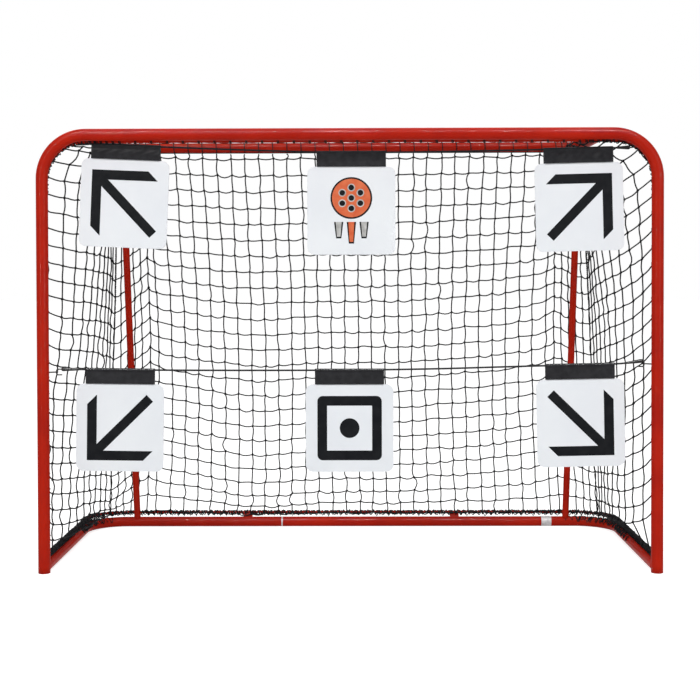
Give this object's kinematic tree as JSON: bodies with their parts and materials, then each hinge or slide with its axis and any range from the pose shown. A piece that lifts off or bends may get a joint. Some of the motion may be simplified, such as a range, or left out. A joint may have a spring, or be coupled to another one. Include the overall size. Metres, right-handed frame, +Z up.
{
  "type": "goal net",
  "caption": "Free-standing goal of bent tube with a knotted net and square target cards that swing on two elastic cords.",
  "frame": {"origin": "on the floor, in the middle of the goal's footprint", "axes": "+X to the right of the mouth seen from the front, +Y into the goal, +Z up"},
  "size_m": [1.664, 0.6764, 1.1853],
  "materials": {
    "red_paint": "gloss powder coat",
    "net_twine": "knotted twine",
    "elastic_cord": "braided cover",
    "black_plastic": "moulded",
    "white_tape": "satin",
    "white_card": "smooth sheet",
    "black_webbing": "folded strip"
  },
  "bodies": {
    "root": {"front_frame": "red_paint", "base_frame": "red_paint", "top_frame": "red_paint", "rear_post_left": "red_paint", "rear_post_right": "red_paint", "front_net_rail": "red_paint", "base_net_rail": "red_paint", "front_rail_tabs": "red_paint", "base_rail_tabs": "red_paint", "net_left_front": "net_twine", "net_left_rear": "net_twine", "net_left_corner": "net_twine", "net_left_top": "net_twine", "net_right_front": "net_twine", "net_right_rear": "net_twine", "net_right_corner": "net_twine", "net_right_top": "net_twine", "net_back": "net_twine", "net_roof": "net_twine", "front_lacing": "net_twine", "base_lacing": "net_twine", "top_lacing": "net_twine", "net_tie_left": "net_twine", "net_tie_right": "net_twine", "elastic_cord_top": "elastic_cord", "elastic_cord_mid": "elastic_cord", "hook_top_left": "black_plastic", "hook_top_right": "black_plastic", "hook_mid_left": "black_plastic", "hook_mid_right": "black_plastic", "foot_plug_left": "black_plastic", "foot_plug_right": "black_plastic", "marker_band": "white_tape", "blank_patch": "white_tape"},
    "target_upper_left": {"card_upper_left": "white_card", "sleeve_upper_left": "black_webbing"},
    "target_upper_middle": {"card_upper_middle": "white_card", "sleeve_upper_middle": "black_webbing"},
    "target_upper_right": {"card_upper_right": "white_card", "sleeve_upper_right": "black_webbing"},
    "target_lower_left": {"card_lower_left": "white_card", "sleeve_lower_left": "black_webbing"},
    "target_lower_middle": {"card_lower_middle": "white_card", "sleeve_lower_middle": "black_webbing"},
    "target_lower_right": {"card_lower_right": "white_card", "sleeve_lower_right": "black_webbing"}
  },
  "joints": [
    {"name": "upper_left_swing", "type": "hinge", "parent": "root", "child": "target_upper_left", "pos_m": [-0.598, -0.28225, 1.141], "axis": [0.9991, 0, -0.0436], "range_deg": [-60, 85]},
    {"name": "upper_middle_swing", "type": "hinge", "parent": "root", "child": "target_upper_middle", "pos_m": [0.005, -0.28225, 1.1205], "axis": [1, 0, 0], "range_deg": [-90, 85]},
    {"name": "upper_right_swing", "type": "hinge", "parent": "root", "child": "target_upper_right", "pos_m": [0.612, -0.28225, 1.129], "axis": [0.9997, 0, 0.0236], "range_deg": [-90, 85]},
    {"name": "lower_left_swing", "type": "hinge", "parent": "root", "child": "target_lower_left", "pos_m": [-0.617, -0.28225, 0.539], "axis": [0.9999, 0, -0.0136], "continuous": true},
    {"name": "lower_middle_swing", "type": "hinge", "parent": "root", "child": "target_lower_middle", "pos_m": [-0.001, -0.28225, 0.5368], "axis": [1, 0, 0], "continuous": true},
    {"name": "lower_right_swing", "type": "hinge", "parent": "root", "child": "target_lower_right", "pos_m": [0.617, -0.28225, 0.55], "axis": [0.9998, 0, 0.018], "continuous": true}
  ]
}
